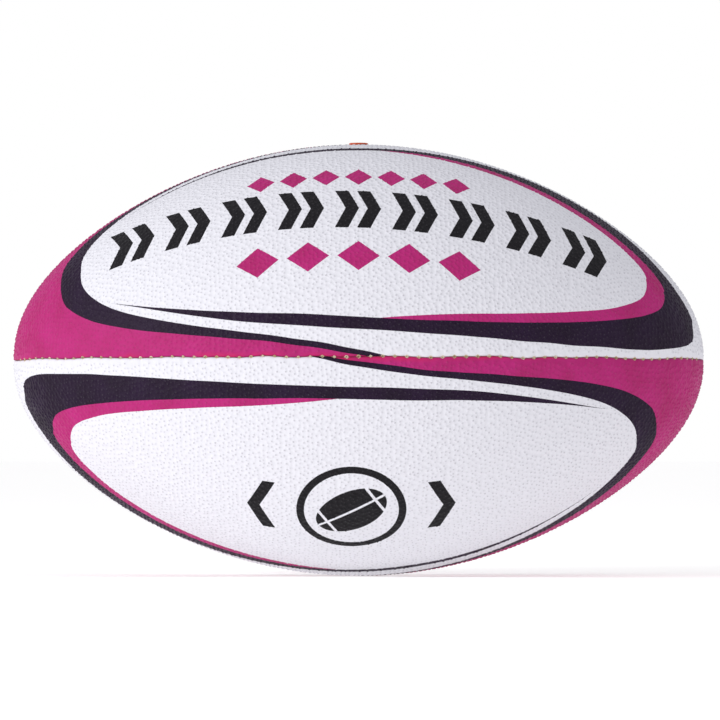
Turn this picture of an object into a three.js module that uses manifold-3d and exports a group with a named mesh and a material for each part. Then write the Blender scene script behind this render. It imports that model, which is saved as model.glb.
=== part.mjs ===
// A rugby ball: four pimpled rubber panels over lining plies, laced seams, a bladder and its valve.
//
// Frame: millimetres, +Z up. The origin is the ball's centre, the long axis is X, and the valve stands
// at the top. Four seams run from tip to tip, at the back (+Y), top (+Z), front (-Y) and bottom (-Z).

import * as THREE from 'three';
import { mergeVertices } from 'three/addons/utils/BufferGeometryUtils.js';
import Module from 'manifold-3d';

const wasm = await Module();
wasm.setup();

// ---- Driving dimensions ----

// The ball. Its profile is an ellipse with its shoulders drawn in and its tips a little blunt.
const HALF_LENGTH = 148;
const SEAM_RADIUS = 92.25;
const SHOULDER_TAPER = 0.183;
const TIP_FULLNESS = 0.94; // below 1 blunts the tips
const CROWN = 0.012; // how far a panel bulges past its seams at mid length, as a share of the radius
const TIP_CROWN = 0.05; // what the bulge gains towards the tips

// A panel: its rubber is turned in along both seams, as a lip.
const SKIN = 1.3;
const HALF_GAP = 1.3; // from the middle of the seam to the lip
const ROLL = 1.0; // radius of the turned edge
const LIP_DEPTH = 3.5;
const PANEL_END_RADIUS = 1.5; // where a panel's point ends beside the axis
const NARROWING_RADIUS = 8; // nearer the axis than this, lips and gap grow narrower

// Layers below the skin, as depths under the ball's surface.
const PLIES = { outer: [1.7, 2.1], middle: [2.4, 2.8], inner: [3.1, 3.5] };
const PLY_EDGE = 3.1; // from the middle of the seam to the edge of a ply
const FLAP_DEPTHS = [4.0, 4.5];
const PATCH_DEPTHS = [4.9, 5.6];
const BLADDER_DEPTHS = [6.0, 6.8];

// Seam thread
const STITCH_PITCH = 5;
const THREAD_RADIUS = 0.4;
const THREAD_SWING = 0.45; // how far it swings to each side of the seam
const THREAD_DEPTH = 1.5;
const THREAD_SIDES = 3;
const THREAD_END_RADIUS = 9; // the lacing stops this far from the axis at each tip

// Valve and patches
const VALVE_HEAD_RADIUS = 4.1;
const VALVE_TOP = SEAM_RADIUS + 1.1;
const VALVE_STEM_RADIUS = 3;
const VALVE_BORE_RADIUS = 2.2;
const NEEDLE_RADIUS = 0.9;
const CLEARANCE = 0.3;
const FLAP_SIZE = { length: 64, width: 26, corner: 8 };
const COLLAR_RADIUS = 13;
const COUNTERWEIGHT_RADIUS = 15;

// Facets
const LENGTH_STEPS = 16;
const PANEL_STEPS = 6;
const ROUND_STEPS = 24;

const QUARTER = Math.PI / 2;
const EIGHTH = Math.PI / 4;

// Angle round the X axis of the middle of each panel, from +Y towards +Z.
const PANELS = {
  back_top: EIGHTH,
  front_top: EIGHTH + QUARTER,
  front_bottom: EIGHTH + 2 * QUARTER,
  back_bottom: EIGHTH + 3 * QUARTER,
};
const SEAMS = { back: 0, top: QUARTER, front: 2 * QUARTER, bottom: 3 * QUARTER };

// ---- The ball's surface ----
// theta runs from -90 degrees at the left tip to +90 degrees at the right tip; phi goes round the axis.

function seamRadius(theta) {
  return SEAM_RADIUS * Math.cos(theta) ** TIP_FULLNESS * (1 - SHOULDER_TAPER * Math.sin(theta) ** 2);
}

function thetaAtRadius(radius) {
  let low = 0;
  let high = QUARTER;
  while (high - low > 1e-9) {
    const middle = (low + high) / 2;
    if (seamRadius(middle) > radius) low = middle;
    else high = middle;
  }
  return low;
}

function surfacePoint(theta, phi) {
  const fromCentre = (((phi % QUARTER) + QUARTER) % QUARTER) - EIGHTH;
  const crown = CROWN + TIP_CROWN * Math.sin(theta) ** 8;
  const radius = seamRadius(theta) * (1 + crown * (1 - (fromCentre / EIGHTH) ** 2));
  return new THREE.Vector3(
    HALF_LENGTH * Math.sin(theta),
    radius * Math.cos(phi),
    radius * Math.sin(phi),
  );
}

function surfaceNormal(theta, phi) {
  const step = 1e-4;
  const along = surfacePoint(theta + step, phi).sub(surfacePoint(theta - step, phi));
  const round = surfacePoint(theta, phi + step).sub(surfacePoint(theta, phi - step));
  return round.cross(along).normalize();
}

function below(theta, phi, depth) {
  return surfacePoint(theta, phi).addScaledVector(surfaceNormal(theta, phi), -depth);
}

// Directions along the ball where sections are taken, from one tip's narrowing to the other's.
function spacedThetas() {
  const end = thetaAtRadius(NARROWING_RADIUS);
  const step = (2 * end) / LENGTH_STEPS;
  return Array.from({ length: LENGTH_STEPS + 1 }, (_, i) => -end + i * step);
}

const MAIN_THETAS = spacedThetas();
const TIP_THETA = thetaAtRadius(PANEL_END_RADIUS);
const ALL_THETAS = [-TIP_THETA, ...MAIN_THETAS, TIP_THETA];

// ---- Meshes and solids ----

function meshGeometry(vertices, triangles) {
  const geometry = new THREE.BufferGeometry();
  geometry.setAttribute('position', new THREE.Float32BufferAttribute(vertices.flat(), 3));
  geometry.setIndex(triangles.flat());
  return geometry;
}

function toSolid(source) {
  const geometry = source.clone();
  geometry.deleteAttribute('normal');
  geometry.deleteAttribute('uv');
  const merged = mergeVertices(geometry, 1e-4);
  return new wasm.Manifold(new wasm.Mesh({
    numProp: 3,
    vertProperties: new Float32Array(merged.attributes.position.array),
    triVerts: new Uint32Array(merged.index.array),
  }));
}

function toGeometry(solid) {
  const mesh = solid.getMesh();
  const geometry = new THREE.BufferGeometry();
  geometry.setAttribute('position', new THREE.BufferAttribute(mesh.vertProperties, 3));
  geometry.setIndex(new THREE.BufferAttribute(mesh.triVerts, 1));
  return geometry;
}

// A thin solid lofted through sections, each with an outer and an inner chain of points.
function loft(sections) {
  const width = sections[0].outer.length;
  const ring = 2 * width;
  const last = (sections.length - 1) * ring;
  const vertices = sections.flatMap(({ outer, inner }) =>
    [...outer, ...[...inner].reverse()].map((point) => point.toArray()));
  const triangles = [];
  for (let start = 0; start < last; start += ring) {
    for (let j = 0; j < ring; j += 1) {
      const a = start + j;
      const b = start + ((j + 1) % ring);
      triangles.push([a, b, b + ring], [a, b + ring, a + ring]);
    }
  }
  for (let j = 0; j < width - 1; j += 1) {
    const across = ring - 1 - j;
    triangles.push([j + 1, j, across], [j + 1, across, across - 1]);
    triangles.push([last + j, last + j + 1, last + across - 1]);
    triangles.push([last + j, last + across - 1, last + across]);
  }
  return meshGeometry(vertices, triangles);
}

// The whole ball, shrunk by a depth, as one solid.
function ballSolid(depth) {
  const vertices = ALL_THETAS.flatMap((theta) =>
    Array.from({ length: 4 * PANEL_STEPS }, (_, i) =>
      below(theta, (i * QUARTER) / PANEL_STEPS, depth).toArray()));
  const ring = 4 * PANEL_STEPS;
  const last = vertices.length - ring;
  const leftPole = vertices.length;
  const rightPole = leftPole + 1;
  vertices.push([-HALF_LENGTH + depth, 0, 0], [HALF_LENGTH - depth, 0, 0]);
  const triangles = [];
  for (let j = 0; j < ring; j += 1) {
    const next = (j + 1) % ring;
    for (let start = 0; start < last; start += ring) {
      triangles.push([start + j, start + next, start + next + ring]);
      triangles.push([start + j, start + next + ring, start + j + ring]);
    }
    triangles.push([leftPole, next, j], [rightPole, last + j, last + next]);
  }
  return toSolid(meshGeometry(vertices, triangles));
}

function ballShell([outerDepth, innerDepth]) {
  return ballSolid(outerDepth).subtract(ballSolid(innerDepth));
}

// An upright prism on a flat outline, from a low to a high Z.
function prism(outline, low, high) {
  const geometry = new THREE.ExtrudeGeometry(outline, {
    depth: high - low,
    bevelEnabled: false,
    curveSegments: PANEL_STEPS,
  });
  return toSolid(geometry.translate(0, 0, low));
}

function uprightRod(radius, low, high) {
  const geometry = new THREE.CylinderGeometry(radius, radius, high - low, ROUND_STEPS);
  return toSolid(geometry.rotateX(QUARTER).translate(0, 0, (low + high) / 2));
}

// A turned solid about the Z axis from [radius, height] pairs that go up the outside.
function turned(profile) {
  const points = profile.map(([radius, height]) => new THREE.Vector2(radius, height));
  return new THREE.LatheGeometry(points, ROUND_STEPS).rotateX(QUARTER);
}

// ---- Panels and plies ----

function narrowing(theta) {
  return Math.min(1, seamRadius(theta) / NARROWING_RADIUS);
}

// A point beside a panel's seam: a distance from the middle of the seam, and a depth.
function lipPoint(theta, panel, side, distance, depth) {
  const seam = panel + side * EIGHTH;
  const inward = new THREE.Vector3(0, side * Math.sin(seam), -side * Math.cos(seam));
  return below(theta, seam, depth).addScaledVector(inward, distance * narrowing(theta));
}

// Points across a panel at one depth, from edge to edge, each edge a distance from its seam.
function acrossPanel(theta, panel, distance, depth) {
  const half = EIGHTH - Math.asin((distance * narrowing(theta)) / seamRadius(theta));
  return Array.from({ length: PANEL_STEPS + 1 }, (_, i) =>
    below(theta, panel + half * ((2 * i) / PANEL_STEPS - 1), depth));
}

function panelSkin(panel) {
  const innerFace = HALF_GAP + SKIN;
  return loft(ALL_THETAS.map((theta) => ({
    outer: [
      lipPoint(theta, panel, -1, HALF_GAP, LIP_DEPTH),
      lipPoint(theta, panel, -1, HALF_GAP, ROLL),
      ...acrossPanel(theta, panel, HALF_GAP + ROLL, 0),
      lipPoint(theta, panel, 1, HALF_GAP, ROLL),
      lipPoint(theta, panel, 1, HALF_GAP, LIP_DEPTH),
    ],
    inner: [
      lipPoint(theta, panel, -1, innerFace, LIP_DEPTH),
      lipPoint(theta, panel, -1, innerFace, ROLL + SKIN / 2),
      ...acrossPanel(theta, panel, innerFace + SKIN / 4, SKIN),
      lipPoint(theta, panel, 1, innerFace, ROLL + SKIN / 2),
      lipPoint(theta, panel, 1, innerFace, LIP_DEPTH),
    ],
  })));
}

function panelPly(panel, [top, bottom]) {
  return loft(MAIN_THETAS.map((theta) => ({
    outer: acrossPanel(theta, panel, PLY_EDGE, top),
    inner: acrossPanel(theta, panel, PLY_EDGE, bottom),
  })));
}

// Cuts the valve's way through a layer that lies beside the top seam.
function withValveHole(geometry) {
  const hole = uprightRod(VALVE_HEAD_RADIUS + CLEARANCE, 0, VALVE_TOP + CLEARANCE);
  return toGeometry(toSolid(geometry).subtract(hole));
}

// ---- Seam thread ----

class SeamLine extends THREE.Curve {
  constructor(seam, from, to) {
    super();
    Object.assign(this, { seam, from, to });
  }

  getPoint(t) {
    return below(this.from + (this.to - this.from) * t, this.seam, THREAD_DEPTH);
  }
}

// One thread, laced from side to side of a seam between two places along the ball.
function seamThread(seam, from, to) {
  const line = new SeamLine(seam, from, to);
  const swings = 2 * Math.round(line.getLength() / STITCH_PITCH);
  const sideways = new THREE.Vector3(0, -Math.sin(seam), Math.cos(seam));
  const points = Array.from({ length: swings + 1 }, (_, i) =>
    line.getPointAt(i / swings).addScaledVector(sideways, i % 2 ? THREAD_SWING : -THREAD_SWING));
  const path = new THREE.CatmullRomCurve3(points);
  path.arcLengthDivisions = 8 * swings;
  const corners = Array.from({ length: THREAD_SIDES }, (_, i) => {
    const turn = (2 * Math.PI * i) / THREAD_SIDES;
    return new THREE.Vector2(THREAD_RADIUS * Math.cos(turn), THREAD_RADIUS * Math.sin(turn));
  });
  return new THREE.ExtrudeGeometry(new THREE.Shape(corners), {
    steps: swings,
    extrudePath: path,
    bevelEnabled: false,
  });
}

// ---- Bladder, valve and patches ----

const STEM_HOLE = uprightRod(VALVE_STEM_RADIUS + CLEARANCE, 0, VALVE_TOP);
const FLANGE_TOP = SEAM_RADIUS - BLADDER_DEPTHS[1] - 1.2;
const FLANGE_RADIUS = 6;
const FLANGE = 1;
const STEM_BOTTOM = FLANGE_TOP - 9;
const HEAD_BOTTOM = VALVE_TOP - 2;
const BORE_TOP = VALVE_TOP - 2.4;

function bladder() {
  return toGeometry(ballShell(BLADDER_DEPTHS).subtract(STEM_HOLE));
}

function valveHousing() {
  const chamfer = 0.4;
  return turned([
    [VALVE_BORE_RADIUS, STEM_BOTTOM],
    [VALVE_STEM_RADIUS, STEM_BOTTOM],
    [VALVE_STEM_RADIUS, FLANGE_TOP - FLANGE],
    [FLANGE_RADIUS, FLANGE_TOP - FLANGE],
    [FLANGE_RADIUS, FLANGE_TOP],
    [VALVE_STEM_RADIUS, FLANGE_TOP],
    [VALVE_STEM_RADIUS, HEAD_BOTTOM],
    [VALVE_HEAD_RADIUS, HEAD_BOTTOM],
    [VALVE_HEAD_RADIUS, VALVE_TOP - chamfer],
    [VALVE_HEAD_RADIUS - chamfer, VALVE_TOP],
    [NEEDLE_RADIUS, VALVE_TOP],
    [NEEDLE_RADIUS, BORE_TOP],
    [VALVE_BORE_RADIUS, BORE_TOP],
    [VALVE_BORE_RADIUS, STEM_BOTTOM],
  ]);
}

function valvePlug() {
  const radius = VALVE_BORE_RADIUS - CLEARANCE;
  const top = BORE_TOP - CLEARANCE;
  return turned([
    [0, STEM_BOTTOM + 1],
    [radius - 0.6, STEM_BOTTOM + 1],
    [radius, STEM_BOTTOM + 2.5],
    [radius, top],
    [NEEDLE_RADIUS, top],
    [0, top - 1.2],
  ]);
}

// A flap of fabric under the top seam, with a hole for the valve's stem.
function valveFlap() {
  const { length, width, corner } = FLAP_SIZE;
  const x = length / 2;
  const y = width / 2;
  const outline = new THREE.Shape()
    .moveTo(x - corner, -y)
    .absarc(x - corner, -y + corner, corner, -QUARTER, 0)
    .absarc(x - corner, y - corner, corner, 0, QUARTER)
    .absarc(-x + corner, y - corner, corner, QUARTER, 2 * QUARTER)
    .absarc(-x + corner, -y + corner, corner, 2 * QUARTER, 3 * QUARTER);
  const blank = ballShell(FLAP_DEPTHS).intersect(prism(outline, 0, VALVE_TOP));
  return toGeometry(blank.subtract(STEM_HOLE));
}

function valveCollar() {
  const blank = ballShell(PATCH_DEPTHS).intersect(uprightRod(COLLAR_RADIUS, 0, VALVE_TOP));
  return toGeometry(blank.subtract(STEM_HOLE));
}

function counterweight() {
  const rod = uprightRod(COUNTERWEIGHT_RADIUS, -VALVE_TOP, 0);
  return toGeometry(ballShell(PATCH_DEPTHS).intersect(rod));
}

// ---- The assembly ----

const FINISHES = {
  cover: { color: 0xf0eff3, roughness: 0.62 },
  outer: { color: 0xe4e0d6, roughness: 0.95 },
  middle: { color: 0xd9cfb8, roughness: 0.95 },
  inner: { color: 0xe9e6dd, roughness: 0.95 },
  thread: { color: 0xc9a877, roughness: 0.8 },
  bladder: { color: 0x2b2b2e, roughness: 0.5 },
  valve: { color: 0xd9642b, roughness: 0.45 },
  plug: { color: 0x3a3a3c, roughness: 0.6 },
  patch: { color: 0x3c3c40, roughness: 0.6 },
  flap: { color: 0xdcd6c8, roughness: 0.95 },
};

const ball = new THREE.Group();

function addPiece(name, geometry, finish) {
  const material = new THREE.MeshStandardMaterial({ ...FINISHES[finish], metalness: 0 });
  const mesh = new THREE.Mesh(geometry, material);
  mesh.name = name;
  ball.add(mesh);
}

for (const [place, centre] of Object.entries(PANELS)) {
  const cut = place.endsWith('top') ? withValveHole : (geometry) => geometry;
  addPiece(`panel_${place}`, cut(panelSkin(centre)), 'cover');
  for (const [layer, depths] of Object.entries(PLIES)) {
    addPiece(`ply_${layer}_${place}`, cut(panelPly(centre, depths)), layer);
  }
}

const laceEnd = thetaAtRadius(THREAD_END_RADIUS);
const valveSide = Math.asin((VALVE_HEAD_RADIUS + STITCH_PITCH / 2) / HALF_LENGTH);
for (const place of ['back', 'front', 'bottom']) {
  addPiece(`seam_thread_${place}`, seamThread(SEAMS[place], -laceEnd, laceEnd), 'thread');
}
addPiece('seam_thread_top_left', seamThread(SEAMS.top, -laceEnd, -valveSide), 'thread');
addPiece('seam_thread_top_right', seamThread(SEAMS.top, valveSide, laceEnd), 'thread');

addPiece('bladder', bladder(), 'bladder');
addPiece('valve_housing', valveHousing(), 'valve');
addPiece('valve_plug', valvePlug(), 'plug');
addPiece('valve_collar', valveCollar(), 'patch');
addPiece('valve_flap', valveFlap(), 'flap');
addPiece('counterweight_patch', counterweight(), 'patch');

export default ball;
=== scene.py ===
"""A rugby ball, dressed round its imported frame: pimpled printed panels, laced seams and a rubber valve.

Metres, +Z up, long axis along X. The valve stands at the top and the seam seen in front is at -Y.
"""

import math

import bpy
import numpy as np
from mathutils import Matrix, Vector
from mathutils.geometry import delaunay_2d_cdt


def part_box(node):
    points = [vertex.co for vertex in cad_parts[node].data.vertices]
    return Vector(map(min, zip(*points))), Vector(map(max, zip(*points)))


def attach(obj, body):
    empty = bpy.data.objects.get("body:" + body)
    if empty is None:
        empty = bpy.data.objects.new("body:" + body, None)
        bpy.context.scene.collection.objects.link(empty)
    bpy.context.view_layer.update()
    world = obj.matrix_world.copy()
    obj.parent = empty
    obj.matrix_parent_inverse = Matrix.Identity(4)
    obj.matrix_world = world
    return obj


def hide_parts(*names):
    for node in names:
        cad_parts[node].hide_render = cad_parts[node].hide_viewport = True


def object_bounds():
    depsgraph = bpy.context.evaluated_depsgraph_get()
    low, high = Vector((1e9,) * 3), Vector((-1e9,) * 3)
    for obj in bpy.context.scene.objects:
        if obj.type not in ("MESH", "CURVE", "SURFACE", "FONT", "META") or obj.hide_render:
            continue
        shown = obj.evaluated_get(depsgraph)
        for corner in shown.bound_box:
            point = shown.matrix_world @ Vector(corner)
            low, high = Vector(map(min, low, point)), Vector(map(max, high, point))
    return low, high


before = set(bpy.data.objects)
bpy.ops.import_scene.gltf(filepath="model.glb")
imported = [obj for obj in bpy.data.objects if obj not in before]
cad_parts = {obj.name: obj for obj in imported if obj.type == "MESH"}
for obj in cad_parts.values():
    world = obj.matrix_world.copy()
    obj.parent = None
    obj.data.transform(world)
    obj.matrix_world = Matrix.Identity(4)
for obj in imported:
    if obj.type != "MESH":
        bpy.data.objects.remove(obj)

CAD_BOX = [list(corner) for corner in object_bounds()]
MM = 0.001
SEED = 1823

# ---- The ball's shape, as in the frame ----

VALVE_LOW, VALVE_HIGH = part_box("valve_housing")
HALF_LENGTH = CAD_BOX[1][0]
SEAM_RADIUS = -CAD_BOX[0][2]
SHOULDER_TAPER = 0.183
TIP_FULLNESS = 0.94
CROWN = 0.012
TIP_CROWN = 0.05
EIGHTH = math.pi / 4

# For each panel: the angle round the X axis of its middle, from +Y towards +Z; which way its print
# runs; how far the print was set off (degrees, and degrees more for each mm along); and how much
# the upper half of its bands was drawn in, at the print's start, middle and end (1 is not at all).
PANELS = {
    "front_top": (3 * EIGHTH, 1, 0.35, 0.0105, (0.83, 0.32, 0.32)),
    "back_top": (EIGHTH, -1, 0.2, -0.006, (0.60, 0.37, 0.37)),
    "back_bottom": (-EIGHTH, 1, -0.25, 0.004, (0.60, 0.37, 0.37)),
    "front_bottom": (-3 * EIGHTH, -1, -0.35, -0.0105, (0.22, 0.37, 0.46)),
}
DRAWN_IN_AT = (-0.75, 0.0, 0.7)  # shares of the half length, along the print
DRAWN_SOFTLY = 0.1  # share of a half panel's width over which the drawing in sets in
SEAMS = {"back": 0.0, "top": 2 * EIGHTH, "front": 4 * EIGHTH, "bottom": -2 * EIGHTH}

# ---- Panel details ----

TIP_END_RADIUS = 1.0 * MM
NARROWING = 4.0 * MM
STATION_PITCH = 1.0 * MM
STATIONS_PER_STITCH = 5
EDGE = 1.25 * MM  # where a panel starts to roll into its seam
ROLL_DEPTH = 0.9 * MM
LIP_DEPTH = 3.2 * MM
SKIN = 1.2 * MM
GAP = 0.05 * MM  # half the gap between two lips
GAP_AT_STITCH = 0.32 * MM
PUCKER = 0.30 * MM
PUCKER_REACH = 2.1 * MM
SWELL = 0.10 * MM  # how far an edge bulges between stitches
SWAY = 0.12 * MM
SWAY_REACH = 7 * MM
VALVE_ROOM = 0.25 * MM
ROLL_STEPS = 4
INNER_COLUMNS = 5

PIMPLE_PITCH = 2.2 * MM
PIMPLE_SIDES = 5
PIMPLE_BASE = 0.47 * MM
PIMPLE_TOP = 0.30 * MM
PIMPLE_HEIGHT = 0.21 * MM
PIMPLE_JITTER = 0.30
PIMPLE_MARGIN = 0.85 * MM


def radius_at(theta):
    """Radius of the ball's profile, measured on a seam, at an angle along the ball."""
    return (SEAM_RADIUS * np.cos(theta) ** TIP_FULLNESS
            * (1 - SHOULDER_TAPER * np.sin(theta) ** 2))


THETAS = np.linspace(-math.pi / 2, math.pi / 2, 20001)
PROFILE = np.stack([HALF_LENGTH * np.sin(THETAS), radius_at(THETAS)])
ARCS = np.concatenate([[0], np.cumsum(np.hypot(*np.diff(PROFILE)))])
ARCS -= ARCS[-1] / 2
END_THETA = THETAS[np.nonzero(PROFILE[1] > TIP_END_RADIUS)[0][-1]]
END_ARC = float(np.interp(END_THETA, THETAS, ARCS))
STATION_COUNT = 2 * int(round(END_ARC / STATION_PITCH)) + 1
STATIONS = np.linspace(-END_ARC, END_ARC, STATION_COUNT)
STITCH_PITCH = STATIONS_PER_STITCH * (STATIONS[1] - STATIONS[0])


def theta_at(arc):
    return np.interp(arc, ARCS, THETAS)


def narrowing(radius):
    """Seam details shrink near the tips, where the panels run out to points."""
    return 1 - np.exp(-radius / NARROWING)


def surface(theta, across):
    """Points of a panel whose middle faces +Y; across is the angle from its middle."""
    crown = CROWN + TIP_CROWN * np.sin(theta) ** 8
    radius = radius_at(theta) * (1 + crown * (1 - (across / EIGHTH) ** 2))
    x = HALF_LENGTH * np.sin(theta)
    return np.stack([x, radius * np.cos(across), radius * np.sin(across)], axis=-1)


def unit(vectors):
    return vectors / np.linalg.norm(vectors, axis=-1, keepdims=True)


def surface_normals(theta, across):
    step = 1e-4
    along = surface(theta + step, across) - surface(theta - step, across)
    round_ball = surface(theta, across + step) - surface(theta, across - step)
    return unit(np.cross(round_ball, along))


def seam_frame(arc, angle):
    """Point, outward direction and sideways direction (towards growing angle) on a seam."""
    theta = theta_at(arc)
    step = 1e-4
    x = HALF_LENGTH * np.sin(theta)
    radius = radius_at(theta)
    run = HALF_LENGTH * (np.sin(theta + step) - np.sin(theta - step))
    rise = radius_at(theta + step) - radius_at(theta - step)
    spoke = np.array([0, math.cos(angle), math.sin(angle)])
    point = np.stack([x, 0 * x, 0 * x], axis=-1) + radius[..., None] * spoke
    outward = run[..., None] * spoke + np.stack([-rise, 0 * rise, 0 * rise], axis=-1)
    sideways = np.broadcast_to([0, -math.sin(angle), math.cos(angle)], point.shape)
    return point, unit(outward), sideways


def stitch_pulse(arc):
    """1 at each stitch, falling to 0 between stitches."""
    off = (arc / STITCH_PITCH + 0.5) % 1 - 0.5
    return np.exp(-(off * STITCH_PITCH / (0.85 * MM)) ** 2)


def dip(arc, from_seam):
    """How far the surface lies under the smooth ball near a seam."""
    pulse = stitch_pulse(arc)
    fade = np.exp(-(from_seam / PUCKER_REACH) ** 2)
    return (PUCKER * pulse - SWELL * (1 - pulse)) * fade


def hand_waviness(theta, across):
    """The slight unevenness of a sewn, inflated cover."""
    rng = np.random.default_rng(SEED)
    total = np.zeros_like(theta)
    for _ in range(7):
        fx, fy = rng.uniform(2, 9, 2)
        px, py = rng.uniform(0, 2 * math.pi, 2)
        total += np.sin(fx * theta + px) * np.sin(fy * across + py)
    return 0.05 * MM * total * np.cos(2 * across)


# ---- Mesh making ----


def add_mesh(name, vertices, triangles, material, smooth=True):
    mesh = bpy.data.meshes.new(name)
    triangles = np.asarray(triangles, dtype=np.int32)
    count = len(triangles)
    mesh.vertices.add(len(vertices))
    mesh.vertices.foreach_set("co", np.asarray(vertices, dtype=np.float32).ravel())
    mesh.loops.add(3 * count)
    mesh.loops.foreach_set("vertex_index", triangles.ravel())
    mesh.polygons.add(count)
    mesh.polygons.foreach_set("loop_start", np.arange(0, 3 * count, 3, dtype=np.int32))
    mesh.polygons.foreach_set("use_smooth", np.full(count, smooth))
    mesh.update(calc_edges=True)
    mesh.validate()
    mesh.materials.append(material)
    piece = bpy.data.objects.new(name, mesh)
    bpy.context.scene.collection.objects.link(piece)
    return piece


def outward_facing(vertices, triangles):
    """The triangles, turned so that the closed mesh they make faces out."""
    a, b, c = (vertices[triangles[:, corner]] for corner in range(3))
    volume = np.einsum("ij,ij->i", a, np.cross(b, c)).sum()
    return triangles if volume > 0 else triangles[:, ::-1]


def grid_triangles(index):
    """Two triangles for each cell of a grid of vertex numbers."""
    a, b = index[:-1, :-1].ravel(), index[:-1, 1:].ravel()
    c, d = index[1:, 1:].ravel(), index[1:, :-1].ravel()
    return np.concatenate([np.stack([a, b, c], 1), np.stack([a, c, d], 1)])


def add_uv(mesh, name, coordinates):
    layer = mesh.uv_layers.new(name=name)
    corners = np.zeros(len(mesh.loops), dtype=np.int32)
    mesh.loops.foreach_get("vertex_index", corners)
    layer.data.foreach_set("uv", coordinates[corners].astype(np.float32).ravel())


def add_field(mesh, name, values):
    field = mesh.attributes.new(name, "FLOAT", "POINT")
    field.data.foreach_set("value", np.asarray(values, dtype=np.float32))


def turn_round_x(points, angle):
    """The points, turned from +Y towards +Z."""
    c, s = math.cos(angle), math.sin(angle)
    return points @ np.array([[1, 0, 0], [0, c, s], [0, -s, c]])


def seam_sway(points):
    """The points, swayed a little round the ball with the hand-sewn seams near them."""
    angle = np.arctan2(points[:, 2], points[:, 1])
    radius = np.maximum(np.hypot(points[:, 1], points[:, 2]), 1 * MM)
    x = points[:, 0]
    turn = np.zeros(len(points))
    for place, seam in SEAMS.items():
        rng = np.random.default_rng(SEED + len(place))
        sway = sum(rng.uniform(0.5, 1) * np.sin(2 * math.pi * (x / rng.uniform(11, 60) / MM
                                                               + rng.random())) for _ in range(6))
        near_valve = np.exp(-(x / (14 * MM)) ** 2) if place == "top" else 0
        off = np.abs((angle - seam + math.pi) % (2 * math.pi) - math.pi) * radius
        turn += SWAY * sway * (1 - near_valve) * np.exp(-(off / SWAY_REACH) ** 2) / radius
    turn *= narrowing(radius)
    c, s = np.cos(turn), np.sin(turn)
    y, z = points[:, 1], points[:, 2]
    return np.stack([x, y * c - z * s, y * s + z * c], axis=1)


# ---- Panels ----


class PanelPlan:
    """Where a panel's edges run, and its pimples, before it is bent round the ball.

    A place is given by its arc along the ball and its width across from the panel's middle line.
    """

    def __init__(self, valve_side):
        self.edges = {}
        self.gaps = {}
        hole = (VALVE_HIGH[0] - VALVE_LOW[0]) / 2 * HEAD_SHARE + VALVE_ROOM
        for side in (-1, 1):
            shrink = narrowing(radius_at(theta_at(STATIONS)))
            pulse = stitch_pulse(STATIONS)
            gap = (GAP + (GAP_AT_STITCH - GAP) * pulse) * shrink
            edge = EDGE * shrink
            if side == valve_side:
                gap = np.maximum(gap, np.sqrt(np.maximum(0, hole**2 - STATIONS**2)))
                rim = hole + EDGE - GAP
                edge = np.maximum(edge, np.sqrt(np.maximum(0, rim**2 - STATIONS**2)))
            self.gaps[side] = gap
            self.edges[side] = edge

    def edge_width(self, side):
        radius = radius_at(theta_at(STATIONS))
        return radius * (EIGHTH - np.arcsin(self.edges[side] / radius))

    def limit(self, arc, side):
        return np.interp(arc, STATIONS, self.edge_width(side))

    def pimple_centres(self, rng):
        row_gap = PIMPLE_PITCH * math.sqrt(3) / 2
        rows = int(END_ARC / row_gap)
        places = []
        for row in range(-rows, rows + 1):
            reach = float(radius_at(theta_at(row * row_gap))) * EIGHTH
            count = int(reach / PIMPLE_PITCH) + 1
            shift = 0.5 * (row % 2)
            for column in range(-count, count + 1):
                turn = rng.uniform(0, 2 * math.pi)
                stray = PIMPLE_PITCH * PIMPLE_JITTER * math.sqrt(rng.random())
                arc = row * row_gap + stray * math.cos(turn)
                width = (column + shift) * PIMPLE_PITCH + stray * math.sin(turn)
                places.append((arc, width))
        places = np.array(places)
        arc, width = places.T
        inside = ((width < self.limit(arc, 1) - PIMPLE_MARGIN)
                  & (width > PIMPLE_MARGIN - self.limit(arc, -1))
                  & (np.abs(arc) < END_ARC - 2 * PIMPLE_MARGIN))
        return places[inside]


def ring_places(centres, radii, turns):
    """Rings of places round pimple centres, true circles once they lie on the ball."""
    theta = theta_at(centres[:, 0])
    radius = radius_at(theta)
    slope = np.gradient(radius_at(theta_at(STATIONS)), STATIONS)
    lean = centres[:, 1] / radius * np.interp(centres[:, 0], STATIONS, slope)
    steps = turns[:, None] + np.arange(PIMPLE_SIDES) * 2 * math.pi / PIMPLE_SIDES
    along = radii[:, None] * np.cos(steps)
    across = radii[:, None] * np.sin(steps) + lean[:, None] * along
    return np.stack([centres[:, :1] + along, centres[:, 1:] + across], axis=-1)


def land_triangles(outline, rings):
    """Joins the edge outline and the pimples' base rings with triangles, leaving the rings open."""
    points = [Vector(p) for p in np.concatenate([outline, rings.reshape(-1, 2)])]
    loop = [list(range(len(outline)))]
    _, _, faces, origins, _, _ = delaunay_2d_cdt(points, [], loop, 1, 1e-9)
    first = np.array([o[0] for o in origins])
    triangles = first[np.array([f for f in faces if len(f) == 3])]
    ring = (triangles - len(outline)) // PIMPLE_SIDES
    in_one_ring = (ring[:, 0] == ring[:, 1]) & (ring[:, 1] == ring[:, 2])
    return triangles[~(in_one_ring & (ring[:, 0] >= 0) & (triangles >= len(outline)).all(axis=1))]


def bend(places, lift):
    """Places on the flat plan, bent round the ball and lifted off it."""
    theta = theta_at(places[:, 0])
    radius = radius_at(theta)
    across = places[:, 1] / radius
    from_seam = radius * np.sin(np.maximum(EIGHTH - np.abs(across), 0))
    height = lift - dip(places[:, 0], from_seam) + hand_waviness(theta, across)
    return surface(theta, across) + height[:, None] * surface_normals(theta, across)


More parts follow.
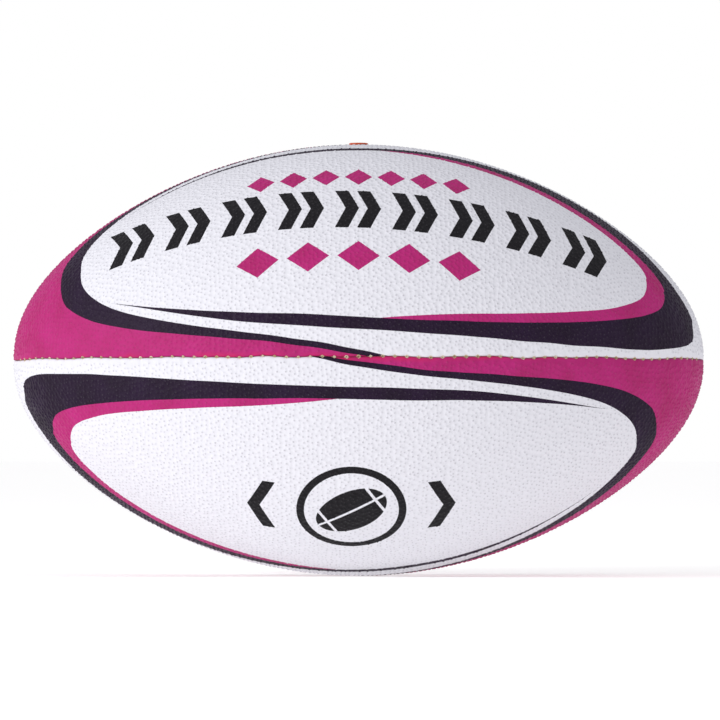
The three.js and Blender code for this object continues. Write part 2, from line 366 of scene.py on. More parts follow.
def side_rows(plan, side):
    """Points from a panel's edge down its roll and lip, for every station: (station, row, xyz)."""
    point, outward, sideways = seam_frame(STATIONS, side * EIGHTH)
    inward = -side * sideways
    gap, edge = plan.gaps[side], plan.edges[side]
    shrink = narrowing(radius_at(theta_at(STATIONS)))
    places = []
    for step in range(1, ROLL_STEPS + 1):
        turn = step / ROLL_STEPS * math.pi / 2
        places.append((edge - (edge - gap) * math.sin(turn),
                       ROLL_DEPTH * shrink * (1 - math.cos(turn))))
    places.append((gap, LIP_DEPTH + 0 * gap))
    places.append((gap + SKIN * shrink, LIP_DEPTH + 0 * gap))
    places.append((gap + SKIN * shrink, SKIN + ROLL_DEPTH / 2 + 0 * gap))
    rows = []
    for from_seam, depth in places:
        sunk = depth + dip(STATIONS, from_seam)
        rows.append(point + from_seam[:, None] * inward - sunk[:, None] * outward)
    return np.stack(rows, axis=1), places


def inner_rows(plan):
    """Points across the inside of a panel's skin: (station, column, xyz)."""
    theta = theta_at(STATIONS)
    radius = radius_at(theta)
    shrink = narrowing(radius)
    columns = []
    for column in range(1, INNER_COLUMNS + 1):
        share = column / (INNER_COLUMNS + 1)
        low = -EIGHTH + np.arcsin((plan.gaps[-1] + 1.6 * SKIN * shrink) / radius)
        high = EIGHTH - np.arcsin((plan.gaps[1] + 1.6 * SKIN * shrink) / radius)
        across = low + (high - low) * (0.5 - 0.5 * math.cos(math.pi * share))
        columns.append(surface(theta, across) - SKIN * surface_normals(theta, across))
    return np.stack(columns, axis=1)


def panel_body(plan, rng):
    """A panel's vertices, triangles and print coordinates, with its middle facing +Y."""
    low = np.stack([STATIONS, -plan.edge_width(-1)], axis=1)
    high = np.stack([STATIONS, plan.edge_width(1)], axis=1)
    outline = np.concatenate([low, high[::-1]])
    centres = plan.pimple_centres(rng)
    count = len(centres)
    size = rng.uniform(0.86, 1.12, count)
    turns = rng.uniform(0, 2 * math.pi, count)
    base = ring_places(centres, PIMPLE_BASE * size, turns)
    top = ring_places(centres, PIMPLE_TOP * size, turns)

    places = np.concatenate([outline, base.reshape(-1, 2), top.reshape(-1, 2)])
    lift = np.zeros(len(places))
    first_top = len(outline) + base.shape[0] * PIMPLE_SIDES
    lift[first_top:] = np.repeat(PIMPLE_HEIGHT * rng.uniform(0.85, 1.15, count), PIMPLE_SIDES)
    vertices = [bend(places, lift)]

    triangles = [land_triangles(outline, base)]
    ring = np.arange(count * PIMPLE_SIDES).reshape(count, PIMPLE_SIDES)
    after = np.roll(ring, -1, axis=1)
    foot, head = len(outline) + ring, first_top + ring
    foot_next, head_next = len(outline) + after, first_top + after
    triangles.append(np.stack([foot, foot_next, head_next], -1).reshape(-1, 3))
    triangles.append(np.stack([foot, head_next, head], -1).reshape(-1, 3))
    for corner in range(1, PIMPLE_SIDES - 1):
        triangles.append(head[:, [0, corner, corner + 1]])

    rows_low, places_low = side_rows(plan, -1)
    rows_high, places_high = side_rows(plan, 1)
    middle = inner_rows(plan)
    section = np.concatenate([rows_low, middle, rows_high[:, ::-1]], axis=1)
    start = len(places)
    numbers = start + np.arange(section.shape[0] * section.shape[1]).reshape(section.shape[:2])
    low_edge = np.arange(STATION_COUNT)
    high_edge = len(outline) - 1 - low_edge
    closed = np.concatenate([low_edge[:, None], numbers, high_edge[:, None]], axis=1)
    shell = grid_triangles(closed)
    caps = []
    for row, flip in ((closed[0], 1), (closed[-1], -1)):
        back = row[::-1]
        for j in range(len(row) // 2):
            quad = [row[j], row[j + 1], back[j + 1], back[j]][::flip]
            caps += [[quad[0], quad[1], quad[2]], [quad[0], quad[2], quad[3]]]
    caps = [t for t in caps if len(set(t)) == 3]
    vertices.append(section.reshape(-1, 3))
    triangles += [shell, np.array(caps)]

    radius = radius_at(theta_at(STATIONS))
    width = []
    groove = []
    for side, rows in ((-1, places_low), (1, places_high[::-1])):
        for from_seam, depth in rows:
            width.append(side * radius * (EIGHTH - np.arcsin(from_seam / radius)))
            groove.append(depth / ROLL_DEPTH)
        if side == -1:
            width += [0 * radius] * INNER_COLUMNS
            groove += [0 * radius + 2] * INNER_COLUMNS
    side_places = np.stack([np.repeat(STATIONS, section.shape[1]),
                            np.stack(width, axis=1).ravel()], axis=1)
    all_places = np.concatenate([places, side_places])
    # Grey share on each pimple's top: painted shade of the pimples on the white rubber, and a painted
    # highlight with some wear on the ink.
    top_shade_and_wear = np.zeros(len(places))
    top_shade_and_wear[first_top:] = np.repeat(rng.uniform(0.25, 1.0, count), PIMPLE_SIDES)
    studs = np.concatenate([top_shade_and_wear, np.zeros(len(side_places))])
    grooves = np.concatenate([0 * lift, np.stack(groove, axis=1).ravel()])
    return np.concatenate(vertices), np.concatenate(triangles), all_places, studs, grooves


def drawn_in(share, draw):
    """Where the even print has what lies at a share of the upper half panel's width."""
    middle = DRAWN_SOFTLY**draw
    return ((share + DRAWN_SOFTLY) ** draw - middle) / ((1 + DRAWN_SOFTLY) ** draw - middle)


def add_panel(place, material):
    centre, run, offset, slant, draw = PANELS[place]
    valve_side = {"front_top": -1, "back_top": 1}.get(place, 0)
    rng = np.random.default_rng(SEED + len(place))
    vertices, triangles, places, studs, grooves = panel_body(PanelPlan(valve_side), rng)
    triangles = outward_facing(vertices, triangles)
    vertices = seam_sway(turn_round_x(vertices, centre))
    piece = add_mesh(f"cover_{place}", vertices, triangles, material)
    theta = theta_at(places[:, 0])
    across = places[:, 1] / radius_at(theta)
    x = np.sin(theta)
    upright = -run
    set_off = np.radians(offset + slant * run * x * HALF_LENGTH / MM)
    turn = upright * across + set_off
    upper = drawn_in(np.clip(turn / EIGHTH, 0, None), np.interp(run * x, DRAWN_IN_AT, draw))
    band = np.where(turn > 0, upper, turn / EIGHTH)
    add_uv(piece.data, "Print", np.stack([run * x, band], 1) / 2 + 0.5)
    add_uv(piece.data, "Sheet", np.stack([run * x, turn * radius_at(theta) / HALF_LENGTH], 1))
    add_field(piece.data, "stud", studs)
    add_field(piece.data, "groove", grooves)
    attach(piece, "root")
    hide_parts(f"panel_{place}")
    return piece


# ---- Seam thread ----

THREAD_RADIUS = 0.23 * MM
THREAD_STEPS = 34  # along one stitch
THREAD_SIDES = 8
THREAD_STOP_RADIUS = 15 * MM
TWIST_PITCH = 1.2 * MM
LOOP = 0.60 * MM
LOOP_DEPTH = 0.30 * MM
BURIED = 2.0 * MM


def stitch_path(arcs, rng):
    """A lacing's line as (arc, sideways, depth): a small loop shows at every stitch hole."""
    points = []
    for arc in arcs:
        size = LOOP * rng.uniform(0.55, 1.15)
        slim = rng.uniform(0.65, 1.0)
        start = rng.uniform(-0.5, 0.5)
        depth = LOOP_DEPTH * rng.uniform(0.8, 1.7)
        points.append((arc - STITCH_PITCH / 2, 0, BURIED))
        points.append((arc - 1.3 * size, 0, 1.2 * MM))
        for step in range(7):
            turn = math.pi + start + step * 2 * math.pi / 6.5
            sink = 0.06 * MM * step + (0.5 * MM if step in (0, 6) else 0)
            points.append((arc + size * math.cos(turn), size * slim * math.sin(turn), depth + sink))
        points.append((arc + 0.4 * size, 0, 1.3 * MM))
    points.append((arcs[-1] + STITCH_PITCH / 2, 0, BURIED))
    return np.array(points)


def smooth_line(points, count):
    """A Catmull-Rom curve through points, sampled evenly by knot."""
    padded = np.concatenate([points[:1], points, points[-1:]])
    t = np.linspace(0, len(points) - 1, count)
    knot = np.minimum(t.astype(int), len(points) - 2)
    u = (t - knot)[:, None]
    a, b, c, d = (padded[knot + i] for i in range(4))
    return 0.5 * (2 * b + (c - a) * u + (2 * a - 5 * b + 4 * c - d) * u**2
                  + (3 * b - a - 3 * c + d) * u**3)


def twisted_tube(line):
    """A two-ply twisted thread along a line: vertices and triangles, with closed ends."""
    run = unit(np.gradient(line, axis=0))
    side = unit(np.cross(run, np.array([0.123, 0.456, 0.881])))
    up = np.cross(side, run)
    length = np.concatenate([[0], np.cumsum(np.linalg.norm(np.diff(line, axis=0), axis=1))])
    turn = np.arange(THREAD_SIDES) * 2 * math.pi / THREAD_SIDES
    lay = 2 * math.pi * length / TWIST_PITCH
    swell = 1 + 0.24 * np.cos(2 * (turn[None, :] - lay[:, None]))
    ring = THREAD_RADIUS * swell[..., None] * (
        np.cos(turn)[None, :, None] * side[:, None] + np.sin(turn)[None, :, None] * up[:, None])
    vertices = (line[:, None] + ring).reshape(-1, 3)
    numbers = np.arange(len(vertices)).reshape(len(line), THREAD_SIDES)
    numbers = np.concatenate([numbers, numbers[:, :1]], axis=1)
    caps = []
    for row in (numbers[0, :-1], numbers[-1, :-1][::-1]):
        caps += [[row[0], row[j + 1], row[j]] for j in range(1, THREAD_SIDES - 1)]
    return vertices, np.concatenate([grid_triangles(numbers), caps])


def add_thread(name, seam, low, high, material, rng, replaced):
    stitches = [k * STITCH_PITCH for k in range(-60, 61) if low < k * STITCH_PITCH < high]
    path = smooth_line(stitch_path(stitches, rng), THREAD_STEPS * len(stitches))
    point, outward, sideways = seam_frame(path[:, 0], seam)
    line = point + path[:, 1:2] * sideways - path[:, 2:] * outward
    vertices, triangles = twisted_tube(seam_sway(line))
    piece = add_mesh(name, vertices, outward_facing(vertices, triangles), material)
    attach(piece, "root")
    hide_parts(replaced)


# ---- Valve ----

HEAD_SHARE = 4.1 / 6.0  # the head's radius over the housing's widest radius, at its flange
RING_STEPS = 72


def turned_piece(name, profile, material):
    """A solid turned about Z from (radius, height) points up its outside and down its bore."""
    profile = np.array(profile)
    turn = np.arange(RING_STEPS) * 2 * math.pi / RING_STEPS
    vertices = np.stack([np.outer(profile[:, 0], np.cos(turn)),
                         np.outer(profile[:, 0], np.sin(turn)),
                         np.repeat(profile[:, 1:], RING_STEPS, axis=1)], axis=-1).reshape(-1, 3)
    numbers = np.arange(len(vertices)).reshape(len(profile), RING_STEPS)
    numbers = np.concatenate([numbers, numbers[:, :1]], axis=1)
    numbers = np.concatenate([numbers, numbers[:1]])
    triangles = grid_triangles(numbers)
    return add_mesh(name, vertices, outward_facing(vertices, triangles), material)


def add_valve(material):
    top = VALVE_HIGH[2]
    bottom = VALVE_LOW[2]
    flange = (VALVE_HIGH[0] - VALVE_LOW[0]) / 2
    head = flange * HEAD_SHARE
    stem, bore, needle = 3.0 * MM, 2.2 * MM, 0.75 * MM
    flange_top = SEAM_RADIUS - 8.0 * MM
    edge = 0.45 * MM
    rim = [(head - edge + edge * math.sin(turn), top - edge + edge * math.cos(turn))
           for turn in np.linspace(math.pi / 2, 0, 6)]
    dish = [(head * 0.72, top), (head * 0.66, top - 0.10 * MM), (head * 0.42, top - 0.16 * MM),
            (head * 0.34, top - 0.12 * MM), (head * 0.28, top - 0.14 * MM),
            (needle * 1.15, top - 0.22 * MM), (needle, top - 0.45 * MM)]
    profile = [(bore, bottom), (stem, bottom), (stem, flange_top - 1.0 * MM),
               (flange, flange_top - 1.0 * MM), (flange, flange_top), (stem, flange_top),
               (stem, top - 2.0 * MM), (head, top - 2.0 * MM)]
    profile += rim + dish + [(needle, top - 2.4 * MM), (bore, top - 2.4 * MM)]
    piece = turned_piece("valve_button", profile, material)
    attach(piece, "root")
    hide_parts("valve_housing")


# ---- Materials ----


class Look:
    """A material's node tree, built in small steps. Values are numbers or sockets."""

    def __init__(self, name):
        self.material = bpy.data.materials.new(name)
        self.material.use_nodes = True
        self.tree = self.material.node_tree
        self.tree.nodes.clear()
        self.shader = self.add("ShaderNodeBsdfPrincipled")
        output = self.add("ShaderNodeOutputMaterial")
        self.join(self.shader.outputs["BSDF"], output.inputs["Surface"])

    def add(self, kind, **settings):
        node = self.tree.nodes.new(kind)
        for key, value in settings.items():
            setattr(node, key, value)
        return node

    def join(self, value, socket):
        if isinstance(value, bpy.types.NodeSocket):
            self.tree.links.new(value, socket)
        else:
            socket.default_value = value

    def set(self, name, value):
        self.join(value, self.shader.inputs[name])

    def math(self, operation, *values, clamp=False):
        node = self.add("ShaderNodeMath", operation=operation, use_clamp=clamp)
        for value, socket in zip(values, node.inputs):
            self.join(value, socket)
        return node.outputs[0]

    def plus(self, a, b):
        return self.math("ADD", a, b)

    def minus(self, a, b):
        return self.math("SUBTRACT", a, b)

    def times(self, *values):
        total = values[0]
        for value in values[1:]:
            total = self.math("MULTIPLY", total, value)
        return total

    def below(self, a, b):
        return self.math("LESS_THAN", a, b)

    def either(self, *masks):
        total = masks[0]
        for mask in masks[1:]:
            total = self.math("MAXIMUM", total, mask)
        return total

    def without(self, mask, removed):
        return self.times(mask, self.minus(1.0, removed))

    def fit(self, value, low, high, to_low=0.0, to_high=1.0):
        node = self.add("ShaderNodeMapRange")
        for socket, number in zip(node.inputs, (value, low, high, to_low, to_high)):
            self.join(number, socket)
        return node.outputs[0]

    def blend(self, share, a, b, kind="MIX"):
        node = self.add("ShaderNodeMix", data_type="RGBA", blend_type=kind)
        self.join(share, node.inputs[0])
        self.join(a, node.inputs[6])
        self.join(b, node.inputs[7])
        return node.outputs[2]

    def position(self):
        return self.add("ShaderNodeTexCoord").outputs["Object"]

    def noise(self, size, detail=3.0, roughness=0.55, where=None):
        node = self.add("ShaderNodeTexNoise")
        self.join(where or self.position(), node.inputs["Vector"])
        self.join(1 / size, node.inputs["Scale"])
        self.join(detail, node.inputs["Detail"])
        self.join(roughness, node.inputs["Roughness"])
        return node.outputs[0]

    def uv(self, name):
        node = self.add("ShaderNodeUVMap", uv_map=name)
        parts = self.add("ShaderNodeSeparateXYZ")
        self.join(node.outputs[0], parts.inputs[0])
        return parts.outputs[0], parts.outputs[1]

    def field(self, name):
        return self.add("ShaderNodeAttribute", attribute_name=name).outputs["Fac"]

    def curve(self, value, points):
        """A smooth curve through points, both coordinates from 0 to 1."""
        node = self.add("ShaderNodeFloatCurve")
        line = node.mapping.curves[0]
        line.points[0].location = points[0]
        line.points[-1].location = points[-1]
        for place in points[1:-1]:
            line.points.new(*place)
        node.mapping.update()
        self.join(value, node.inputs["Value"])
        return node.outputs[0]

    def bump(self, height, distance, strength=1.0, normal=None):
        node = self.add("ShaderNodeBump")
        self.join(strength, node.inputs["Strength"])
        self.join(distance, node.inputs["Distance"])
        self.join(height, node.inputs["Height"])
        if normal is not None:
            self.join(normal, node.inputs["Normal"])
        return node.outputs[0]


def colour(red, green, blue):
    """A shader colour from an sRGB one, 0 to 255."""
    def linear(value):
        value /= 255
        return value / 12.92 if value <= 0.04045 else ((value + 0.055) / 1.055) ** 2.4
    return (linear(red), linear(green), linear(blue), 1.0)


RUBBER_WHITE = colour(230, 229, 236)
MAGENTA = colour(184, 38, 118)
MAGENTA_DEEP = colour(172, 34, 104)
BLUSH = colour(205, 36, 78)
AUBERGINE = colour(34, 13, 44)
AUBERGINE_DEEP = colour(27, 10, 33)
INK_BLACK = colour(20, 18, 22)
# Grey for the pimple tops (painted pimple shade and painted highlight, with some wear) and for the fine
# speckle.
SHADE_AND_WEAR_GREY = colour(140, 136, 144)
# Painted shade for the panel edges where they roll down into a seam.
GROOVE_PAINTED_SHADE = colour(62, 34, 48)

# The print's outlines, each a half of a loop that is the same on both sides of a panel's middle
# line. Places are (mm along the ball, degrees from the middle line). The hooks round off towards
# the print's start (-148 mm) and the others towards its end.
SPAN_MM = 148
SPAN_DEGREES = 50
HOOK_OUTER = [(-126.2, 0), (-126.2, 4), (-125.7, 10), (-122.4, 20), (-114.7, 28), (-109.6, 31),
              (-100.9, 34), (-92.1, 36), (-77.3, 38), (-56, 39.8), (-36, 41.1), (-16, 42.7),
              (5, 44.7), (30, 47.5), (90, 54), (148, 60)]
HOOK_INNER = [(-117.4, 0), (-117.4, 4), (-116.6, 10), (-111, 20), (-106.7, 24), (-99.9, 28), (-91.8, 31),
              (-79.5, 34), (-67.7, 36), (-50.4, 38), (-26, 40.2), (-6, 42.1), (16, 45),
              (40, 48), (90, 54), (148, 60)]
SWEEP_OUTER = [(142.3, 0), (142.3, 6), (142.5, 12), (142.5, 20), (141.1, 28), (137.5, 34),
               (134.5, 36), (127.7, 38), (116, 39.3), (104, 39.6), (64, 39), (24, 38.1),
               (-16, 37.1), (-56, 34.6), (-76, 31.6), (-90, 28.4), (-104, 24), (-125, 15)]
SWEEP_OUTER_UPPER = [(142.3, 0), (142.2, 5), (141.7, 9), (140.9, 12.5), (139.9, 15.8),
                     (138.2, 19.5), (134.9, 23.6), (130, 28.2), (124.2, 32.1), (117.8, 35.1),
                     (104, 38.3), (84, 39.1), (54, 38.2), (24, 36.9), (-16, 35.8), (-56, 33.9),
                     (-76, 31.2), (-90, 28.2), (-104, 24), (-125, 15)]
SWEEP_INNER = [(129.3, 0), (129.3, 8), (127, 15), (122.9, 20), (117.2, 24), (106.9, 28),
               (93, 31), (74, 33.1), (54, 34.2), (34, 34.6), (-16, 33.9), (-46, 32.9),
               (-66, 31.4), (-90, 27.8), (-104, 24), (-125, 16.5)]
BAND_INNER = [(121.6, 0), (121.6, 6), (118, 15), (112.2, 20), (104.4, 24), (88.5, 28),
              (64, 31.1), (44, 32.4), (24, 33.6), (10, 34.5), (-6, 35.5), (-40, 37.4),
              (-120, 37)]


class Sheet:
    """Places on a panel's print: along and across for outlines, x and y in mm for motifs."""

    def __init__(self, look):
        self.look = look
        grain = look.noise(0.9 * MM, detail=2.0)
        bleed = look.times(look.minus(grain, 0.5), 0.0015)
        u, v = look.uv("Print")
        off_middle = look.math("ABSOLUTE", look.minus(v, 0.5))
        self.upper = look.below(0.5, v)
        self.along = look.plus(look.times(look.minus(u, 0.5), 2.0), bleed)
        self.across = look.plus(look.times(off_middle, 90 / SPAN_DEGREES), bleed)
        x, y = look.uv("Sheet")
        self.x = look.times(look.plus(x, bleed), SPAN_MM)
        self.y = look.times(look.plus(y, bleed), SPAN_MM)

    def inside(self, outline, towards, upper_outline=None):
        """A mask of the places nearer the panel's centre than an outline is."""
        look = self.look
        along = look.times(self.along, towards)
        angle = look.times(look.math("ARCTAN2", self.across, along), 1 / math.pi)
        reach = look.math("SQRT", look.plus(look.times(along, along),
                                            look.times(self.across, self.across)))
        limit = look.curve(angle, self.polar_points(outline, towards))
        if upper_outline:
            upper = look.curve(angle, self.polar_points(upper_outline, towards))
            limit = look.plus(limit, look.times(self.upper, look.minus(upper, limit)))
        return look.below(reach, look.times(limit, 2.0))

    @staticmethod
    def polar_points(outline, towards):
        places = [(towards * x / SPAN_MM, y / SPAN_DEGREES) for x, y in outline]
        points = [(math.atan2(y, x) / math.pi, math.hypot(x, y) / 2) for x, y in places]
        return points + [(1.0, points[-1][1])]


def band_masks(sheet):
    """Masks of the printed bands, magenta and aubergine."""
    look = sheet.look
    hook_outer = sheet.inside(HOOK_OUTER, towards=-1)
    hook_inner = sheet.inside(HOOK_INNER, towards=-1)
    sweep_outer = sheet.inside(SWEEP_OUTER, towards=1, upper_outline=SWEEP_OUTER_UPPER)
    sweep_inner = sheet.inside(SWEEP_INNER, towards=1)
    band_inner = sheet.inside(BAND_INNER, towards=1)
    hook = look.without(hook_outer, hook_inner)
    sweep = look.without(sweep_outer, sweep_inner)
    band = look.without(sweep_inner, band_inner)
    return look.either(look.minus(1.0, hook_outer), band), look.either(hook, sweep)


def repeated(look, value, pitch):
    """Distance from the nearest of a row of places a pitch apart, the middle one at 0."""
    return look.minus(look.math("FLOORED_MODULO", look.plus(value, pitch / 2), pitch), pitch / 2)


def lozenge_row(sheet, height, pitch, count, half_width, half_height):
    """A row of lozenges centred on the panel, at a height above its middle line."""
    look = sheet.look
    x = look.math("ABSOLUTE", repeated(look, sheet.x, pitch))
    y = look.math("ABSOLUTE", look.minus(sheet.y, height))
    shape = look.below(look.plus(look.times(x, 1 / half_width), look.times(y, 1 / half_height)), 1.0)
    row = look.below(look.math("ABSOLUTE", sheet.x), count * pitch / 2)
    return look.times(shape, row)


def chevron_row(sheet):
    """Nine pairs of bold chevrons along the panel's gently bowed middle."""
    look = sheet.look
    pitch, count, stroke, spread, half_height, lean = 23.8, 9, 5.6, 4.6, 10.6, 0.42
    bow = look.plus(look.times(sheet.x, sheet.x, 0.00039), look.times(sheet.x, -0.018))
    y = look.math("ABSOLUTE", look.minus(sheet.y, look.minus(bow, 4.5)))
    x = look.minus(look.plus(sheet.x, look.times(y, lean)), 2.0)
    off_slot = look.math("ABSOLUTE", repeated(look, x, pitch))
    shape = look.below(look.math("ABSOLUTE", look.minus(off_slot, spread)), stroke / 2)
    row = look.below(look.math("ABSOLUTE", x), count * pitch / 2)
    return look.times(shape, row, look.below(y, half_height))


def ball_badge(sheet):
    """A plain ball sign: a tilted oval with seam lines in a ring, between two chevrons."""
    look = sheet.look
    centre_x, centre_y, tilt = 3.0, -3.0, math.radians(32)
    x, y = look.minus(sheet.x, centre_x), look.minus(sheet.y, centre_y)
    reach = look.math("SQRT", look.plus(look.times(x, x), look.times(y, y)))
    ring = look.without(look.below(reach, 23.0), look.below(reach, 19.8))
    a = look.plus(look.times(x, math.cos(tilt)), look.times(y, math.sin(tilt)))
    b = look.minus(look.times(y, math.cos(tilt)), look.times(x, math.sin(tilt)))
    oval = look.plus(look.times(a, a, 1 / 16.2**2), look.times(b, b, 1 / 10.4**2))
    seam = look.below(look.math("ABSOLUTE", b), 0.55)
    ends = look.below(11.2, look.math("ABSOLUTE", a))
    stripe = look.times(ends, look.below(look.math("ABSOLUTE", a), 12.4))
    ball = look.without(look.below(oval, 1.0), look.either(seam, stripe))
    out = look.plus(look.math("ABSOLUTE", x), look.times(look.math("ABSOLUTE", y), 0.5))
    bracket = look.below(look.math("ABSOLUTE", look.minus(out, 41.0)), 2.6)
    bracket = look.times(bracket, look.below(look.math("ABSOLUTE", y), 13.0))
    return look.either(ring, ball, bracket)


def cover_look(name, with_badge):
    """Pimpled rubber with its printed bands and motifs."""
    look = Look(name)
    sheet = Sheet(look)
    magenta, aubergine = band_masks(sheet)
    if with_badge:
        black = ball_badge(sheet)
    else:
        black = chevron_row(sheet)
        magenta = look.either(magenta,
                              lozenge_row(sheet, 16.3, 13.7, 7, 5.8, 6.0),
                              lozenge_row(sheet, -28.6, 21.0, 5, 8.8, 6.8))
    top_shade_and_wear = look.field("stud")
    mottle = look.noise(14 * MM, detail=4.0)
    fine = look.noise(0.5 * MM, detail=3.0)

    ink = look.blend(look.fit(mottle, 0.35, 0.7), MAGENTA, MAGENTA_DEEP)
    dark = look.blend(look.fit(mottle, 0.3, 0.7), AUBERGINE, AUBERGINE_DEEP)
    paint = look.blend(magenta, RUBBER_WHITE, seam_blush(sheet, ink))
    paint = look.blend(aubergine, paint, dark)
    paint = look.blend(black, paint, INK_BLACK)
    printed = look.either(magenta, aubergine, black)
    # Grey pimple tops: painted pimple shade on the white rubber; on the ink, a lighter painted highlight
    # with some wear.
    top_shade_and_wear_share = look.times(top_shade_and_wear, look.fit(printed, 0.0, 1.0, 0.38, 0.08))
    paint = look.blend(top_shade_and_wear_share, paint, SHADE_AND_WEAR_GREY)
    paint = look.blend(look.fit(fine, 0.35, 0.8, 0.0, 0.05), paint, SHADE_AND_WEAR_GREY)
    # Painted shade: the rolled panel edges darken as they sink into a seam.
    sunk = look.fit(look.field("groove"), 0.5, 1.4, 0.0, 0.8)
    paint = look.blend(sunk, paint, GROOVE_PAINTED_SHADE)
    look.set("Base Color", paint)

    base_roughness = look.fit(printed, 0.0, 1.0, 0.60, 0.50)
    look.set("Roughness", look.plus(base_roughness, look.times(look.minus(mottle, 0.5), 0.16)))
    look.set("Specular IOR Level", look.fit(printed, 0.0, 1.0, 0.16, 0.12))
    grain = look.bump(look.noise(0.25 * MM, detail=3.0), 0.03 * MM, 0.5)
    look.set("Normal", look.bump(look.noise(5 * MM, detail=2.0), 0.10 * MM, 0.4, grain))
    return look.material


def seam_blush(sheet, ink):
    """The magenta ink, a little redder where it was worked along a seam."""
    look = sheet.look
    close = look.fit(sheet.across, 0.870, 0.895)
    patchy = look.fit(look.noise(22 * MM, detail=3.0), 0.42, 0.62)
    return look.blend(look.times(close, patchy, 0.7), ink, BLUSH)


def thread_look():
    look = Look("waxed_thread")
    streak = look.noise(0.35 * MM, detail=5.0)
    patch = look.noise(6 * MM, detail=2.0)
    straw = look.blend(look.fit(patch, 0.35, 0.65), colour(236, 224, 200), colour(204, 182, 138))
    look.set("Base Color", look.blend(look.fit(streak, 0.45, 0.8), straw, colour(150, 126, 78)))
    look.set("Roughness", look.fit(streak, 0.2, 0.8, 0.45, 0.75))
    look.set("Normal", look.bump(streak, 0.05 * MM, 0.8))
    return look.material


def rubber_look(name, body, shade, roughness, grain=0.4):
    """Moulded rubber: faint mottling, a matt grain and soft wear."""
    look = Look(name)
    mottle = look.noise(3 * MM, detail=4.0)
    look.set("Base Color", look.blend(look.fit(mottle, 0.35, 0.7), body, shade))
    look.set("Roughness", look.fit(mottle, 0.3, 0.7, roughness - 0.07, roughness + 0.08))
    look.set("Normal", look.bump(look.noise(0.3 * MM, detail=3.0), 0.04 * MM, grain))
    return look.material


def cloth_look(name, warp, weft):
    """Plain woven lining cloth."""
    look = Look(name)
    parts = look.add("ShaderNodeSeparateXYZ")
    look.join(look.position(), parts.inputs[0])
    thread = 0.55 * MM
    x, y, z = parts.outputs
    across = look.math("ARCTAN2", z, y)
    over = look.math("SINE", look.times(x, math.pi / thread))
    under = look.math("SINE", look.times(across, math.pi * SEAM_RADIUS / thread))
    weave = look.times(over, under)
    fuzz = look.noise(0.4 * MM, detail=4.0)
    share = look.fit(look.plus(weave, look.times(fuzz, 0.6)), -1.0, 1.6)
    look.set("Base Color", look.blend(share, weft, warp))
    look.set("Roughness", look.fit(fuzz, 0.0, 1.0, 0.8, 0.98))
    look.set("Normal", look.bump(weave, 0.12 * MM, 0.8))
    return look.material


def dress_inner_nodes():
    """Finishes for the frame's own nodes that stay: linings, bladder, patches and plug."""
    polyester = cloth_look("lining_polyester", colour(236, 233, 226), colour(214, 209, 198))
    cotton = cloth_look("lining_cotton", colour(224, 214, 190), colour(196, 182, 150))
    latex = rubber_look("bladder_rubber", colour(44, 44, 47), colour(33, 33, 36), 0.5)
    plug = rubber_look("plug_rubber", colour(62, 62, 64), colour(48, 48, 50), 0.6)
    looks = {"ply_outer": polyester, "ply_middle": cotton, "ply_inner": polyester,
             "valve_flap": cotton, "bladder": latex, "valve_collar": latex,
             "counterweight_patch": latex, "valve_plug": plug}
    for node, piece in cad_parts.items():
        for start, material in looks.items():
            if node.startswith(start):
                piece.data.materials.clear()
                piece.data.materials.append(material)


# ---- Studio ----


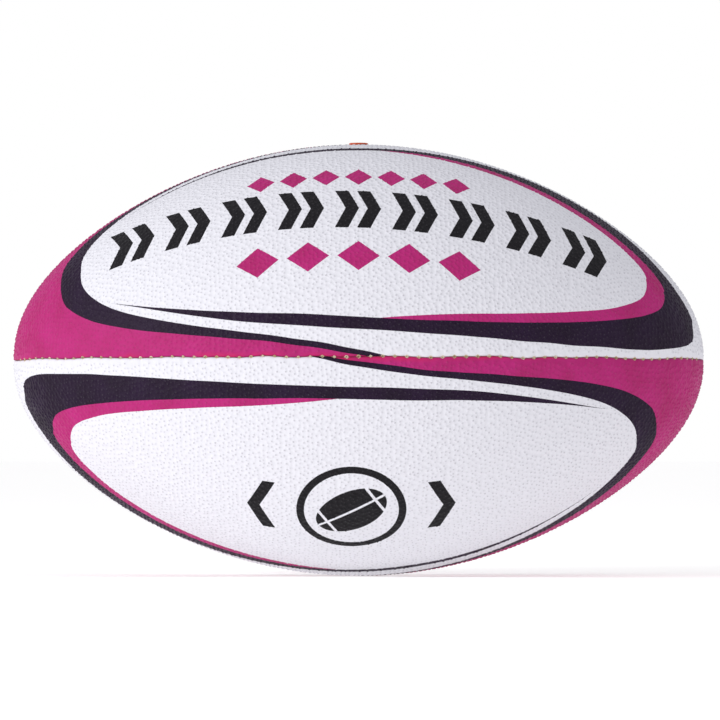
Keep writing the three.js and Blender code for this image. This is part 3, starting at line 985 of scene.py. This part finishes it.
def add_studio():
    """A pale floor, a soft lamp and a white surround."""
    world = bpy.data.worlds.new("studio")
    bpy.context.scene.world = world
    world.use_nodes = True
    tree = world.node_tree
    tree.nodes.clear()
    output = tree.nodes.new("ShaderNodeOutputWorld")
    lit = tree.nodes.new("ShaderNodeBackground")
    lit.inputs["Color"].default_value = (0.96, 0.97, 1.0, 1)
    lit.inputs["Strength"].default_value = 0.68
    seen = tree.nodes.new("ShaderNodeBackground")
    seen.inputs["Color"].default_value = (1, 1, 1, 1)
    seen.inputs["Strength"].default_value = 1.0
    ray = tree.nodes.new("ShaderNodeLightPath")
    mix = tree.nodes.new("ShaderNodeMixShader")
    tree.links.new(ray.outputs["Is Camera Ray"], mix.inputs[0])
    tree.links.new(lit.outputs[0], mix.inputs[1])
    tree.links.new(seen.outputs[0], mix.inputs[2])
    tree.links.new(mix.outputs[0], output.inputs["Surface"])

    floor_look = Look("floor_paint")
    speck = floor_look.noise(0.05, detail=3.0)
    floor_look.set("Base Color", floor_look.blend(speck, (0.87, 0.87, 0.87, 1), (0.89, 0.89, 0.89, 1)))
    floor_look.set("Emission Color", (0.405, 0.395, 0.385, 1))
    floor_look.set("Emission Strength", 1.0)
    floor_look.set("Roughness", 0.9)
    floor_look.set("Specular IOR Level", 0.1)
    size = 30.0
    corners = np.array([[-size, -size, 0], [size, -size, 0],
                        [size, size, 0], [-size, size, 0]], float)
    corners[:, 2] = CAD_BOX[0][2] - 0.2 * MM
    floor = add_mesh("floor", corners, [[0, 1, 2], [0, 2, 3]], floor_look.material, smooth=False)

    add_lamp("key", (-2.55, -1.65, 0.9), 1.5, 42)


def add_lamp(name, place, size, power):
    lamp = bpy.data.lights.new(name, "AREA")
    lamp.shape = "DISK"
    lamp.size = size
    lamp.energy = power
    holder = bpy.data.objects.new(name, lamp)
    holder.location = place
    holder.rotation_euler = Vector(place).to_track_quat("Z", "Y").to_euler()
    bpy.context.scene.collection.objects.link(holder)


def add_camera():
    """A long lens level with the ball, a touch below its middle, as in a catalogue side view."""
    distance = 2.4
    field = 309.3 * MM
    elevation = math.radians(-0.95)
    target = Vector((0.6 * MM, 0, 0.1 * MM))
    lens = bpy.data.cameras.new("camera")
    lens.sensor_width = 36
    lens.lens = lens.sensor_width * distance / field
    lens.clip_end = 100
    holder = bpy.data.objects.new("camera", lens)
    back = Vector((0, -math.cos(elevation), math.sin(elevation)))
    holder.location = target + distance * back
    holder.rotation_euler = back.to_track_quat("Z", "Y").to_euler()
    bpy.context.scene.collection.objects.link(holder)
    bpy.context.scene.camera = holder


# ---- Assembly ----


def build():
    bpy.context.scene.view_settings.view_transform = "Standard"
    chevroned = cover_look("cover_rubber_chevrons", with_badge=False)
    badged = cover_look("cover_rubber_badge", with_badge=True)
    for place, (_, run, *_) in PANELS.items():
        add_panel(place, chevroned if run == 1 else badged)

    rng = np.random.default_rng(SEED)
    thread = thread_look()
    stop = float(np.interp(THREAD_STOP_RADIUS, PROFILE[1][10000:][::-1], ARCS[10000:][::-1]))
    beside_valve = 5.5 * MM
    for place in ("back", "front", "bottom"):
        add_thread(f"lacing_{place}", SEAMS[place], -stop, stop, thread, rng,
                   replaced=f"seam_thread_{place}")
    add_thread("lacing_top_left", SEAMS["top"], -stop, -beside_valve, thread, rng,
               replaced="seam_thread_top_left")
    add_thread("lacing_top_right", SEAMS["top"], beside_valve, stop, thread, rng,
               replaced="seam_thread_top_right")
    add_valve(rubber_look("valve_rubber", colour(218, 90, 32), colour(198, 72, 24), 0.45))
    dress_inner_nodes()
    add_studio()
    add_camera()


build()
